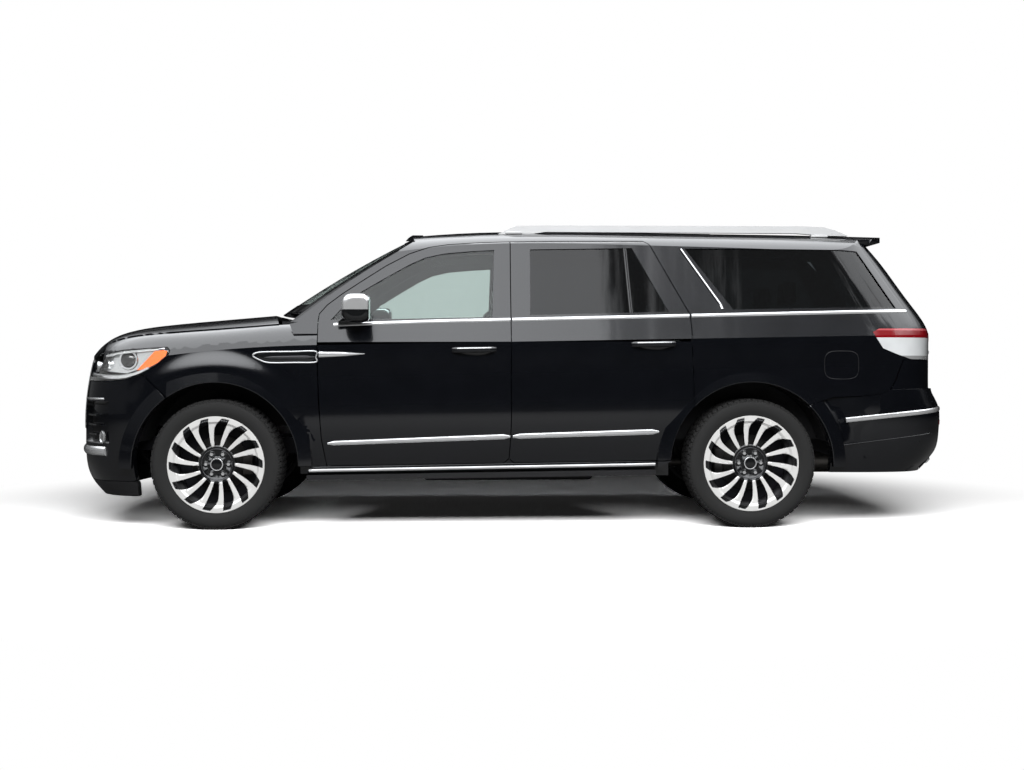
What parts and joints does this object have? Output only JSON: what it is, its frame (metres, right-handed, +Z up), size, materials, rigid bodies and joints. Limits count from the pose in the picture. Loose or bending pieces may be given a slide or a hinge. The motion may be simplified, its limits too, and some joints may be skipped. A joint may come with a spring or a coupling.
{
  "type": "sport utility vehicle",
  "caption": "Full-size long-wheelbase sport utility vehicle with hollow cabin, opening doors, hood and liftgate, coupled steering and free-rolling wheels.",
  "frame": {"origin": "on the ground under the middle of the car: halfway between nose and tail, on the centreline", "axes": "+X towards the tail, along the car; +Y towards the car's right; +Z up"},
  "size_m": [5.6375, 2.34, 1.93],
  "materials": {
    "body_paint": "gloss black lacquer over a blue-black base, clear coated",
    "chassis_paint": "satin black chassis paint",
    "cabin_glass": "clear green-grey laminated glass",
    "privacy_glass": "dark privacy tint",
    "lamp_lens": "clear polycarbonate over chromed reflectors",
    "tail_lens": "red lens with a clear lower part",
    "bright_trim": "polished chrome",
    "rail_metal": "satin silver",
    "black_trim": "gloss black",
    "lower_trim": "grained dark grey",
    "tyre_rubber": "black sidewall",
    "rim_metal": "machined faces with gloss black pockets",
    "cast_parts": "bare casting",
    "steel_parts": "plain steel",
    "seat_leather": "dark stitched leather",
    "cabin_trim": "dark soft-touch moulding",
    "carpet": "dark carpet over the floor pan"
  },
  "bodies": {
    "root": {"ladder_frame": "chassis_paint", "body_floor": "carpet", "body_sides": "body_paint", "roof_panel": "body_paint", "front_fenders": "body_paint", "front_bumper": "body_paint", "front_valance": "lower_trim", "radiator_grille": "bright_trim", "headlamps": "lamp_lens", "windscreen": "cabin_glass", "quarter_windows": "privacy_glass", "cowl": "lower_trim", "rear_bumper": "body_paint", "tail_lamps": "tail_lens", "running_boards": "lower_trim", "roof_rails": "rail_metal", "roof_antenna": "black_trim", "dashboard": "cabin_trim", "front_seats": "seat_leather", "second_row_seats": "seat_leather", "third_row_seat": "seat_leather", "engine_block": "cast_parts", "fuel_tank": "lower_trim", "exhaust_system": "steel_parts", "front_suspension": "chassis_paint", "rear_axle": "cast_parts", "rear_suspension": "chassis_paint", "wheel_arch_liners": "lower_trim"},
    "hood": {"hood": "body_paint"},
    "liftgate": {"liftgate": "body_paint", "liftgate_glass": "privacy_glass"},
    "steering_wheel": {"steering_wheel": "cabin_trim"},
    "front_door_left": {"front_door_left": "body_paint", "front_door_glass_left": "cabin_glass", "door_mirror_left": "bright_trim"},
    "rear_door_left": {"rear_door_left": "body_paint", "rear_door_glass_left": "privacy_glass"},
    "front_knuckle_left": {"steering_knuckle_left": "cast_parts"},
    "front_wheel_left": {"front_tyre_left": "tyre_rubber", "front_rim_left": "rim_metal"},
    "rear_wheel_left": {"rear_tyre_left": "tyre_rubber", "rear_rim_left": "rim_metal"},
    "front_door_right": {"front_door_right": "body_paint", "front_door_glass_right": "cabin_glass", "door_mirror_right": "bright_trim"},
    "rear_door_right": {"rear_door_right": "body_paint", "rear_door_glass_right": "privacy_glass"},
    "front_knuckle_right": {"steering_knuckle_right": "cast_parts"},
    "front_wheel_right": {"front_tyre_right": "tyre_rubber", "front_rim_right": "rim_metal"},
    "rear_wheel_right": {"rear_tyre_right": "tyre_rubber", "rear_rim_right": "rim_metal"}
  },
  "joints": [
    {"name": "hood_hinge", "type": "hinge", "parent": "root", "child": "hood", "pos_m": [-1.478, 0, 1.285], "axis": [0, 1, 0], "range_deg": [0, 50]},
    {"name": "liftgate_hinge", "type": "hinge", "parent": "root", "child": "liftgate", "pos_m": [2.132, 0, 1.875], "axis": [0, -1, 0], "range_deg": [0, 85]},
    {"name": "front_door_hinge_left", "type": "hinge", "parent": "root", "child": "front_door_left", "pos_m": [-1.23, -1.008, 0.9], "axis": [0, 0, -1], "range_deg": [0, 68]},
    {"name": "rear_door_hinge_left", "type": "hinge", "parent": "root", "child": "rear_door_left", "pos_m": [-0.026, -1.008, 0.9], "axis": [0, 0, -1], "range_deg": [0, 70]},
    {"name": "front_door_hinge_right", "type": "hinge", "parent": "root", "child": "front_door_right", "pos_m": [-1.23, 1.008, 0.9], "axis": [0, 0, 1], "range_deg": [0, 68]},
    {"name": "rear_door_hinge_right", "type": "hinge", "parent": "root", "child": "rear_door_right", "pos_m": [-0.026, 1.008, 0.9], "axis": [0, 0, 1], "range_deg": [0, 70]},
    {"name": "steer_left", "type": "hinge", "parent": "root", "child": "front_knuckle_left", "pos_m": [-1.863, -0.775, 0.405], "axis": [0, 0, 1], "range_deg": [-35, 35]},
    {"name": "steer_right", "type": "hinge", "parent": "root", "child": "front_knuckle_right", "pos_m": [-1.863, 0.775, 0.405], "axis": [0, 0, 1], "range_deg": [-35, 35]},
    {"name": "steering_wheel_turn", "type": "hinge", "parent": "root", "child": "steering_wheel", "pos_m": [-0.853, -0.4, 1.13], "axis": [0.9404, 0, 0.3401], "range_deg": [-490, 490]},
    {"name": "front_wheel_roll_left", "type": "hinge", "parent": "front_knuckle_left", "child": "front_wheel_left", "pos_m": [-1.863, -0.8525, 0.405], "axis": [0, 1, 0], "continuous": true},
    {"name": "rear_wheel_roll_left", "type": "hinge", "parent": "root", "child": "rear_wheel_left", "pos_m": [1.48, -0.8525, 0.405], "axis": [0, 1, 0], "continuous": true},
    {"name": "front_wheel_roll_right", "type": "hinge", "parent": "front_knuckle_right", "child": "front_wheel_right", "pos_m": [-1.863, 0.8525, 0.405], "axis": [0, 1, 0], "continuous": true},
    {"name": "rear_wheel_roll_right", "type": "hinge", "parent": "root", "child": "rear_wheel_right", "pos_m": [1.48, 0.8525, 0.405], "axis": [0, 1, 0], "continuous": true}
  ],
  "couplings": [
    {"joint": "steer_right", "follows": "steer_left", "ratio": 1},
    {"joint": "steering_wheel_turn", "follows": "steer_left", "ratio": 14}
  ]
}
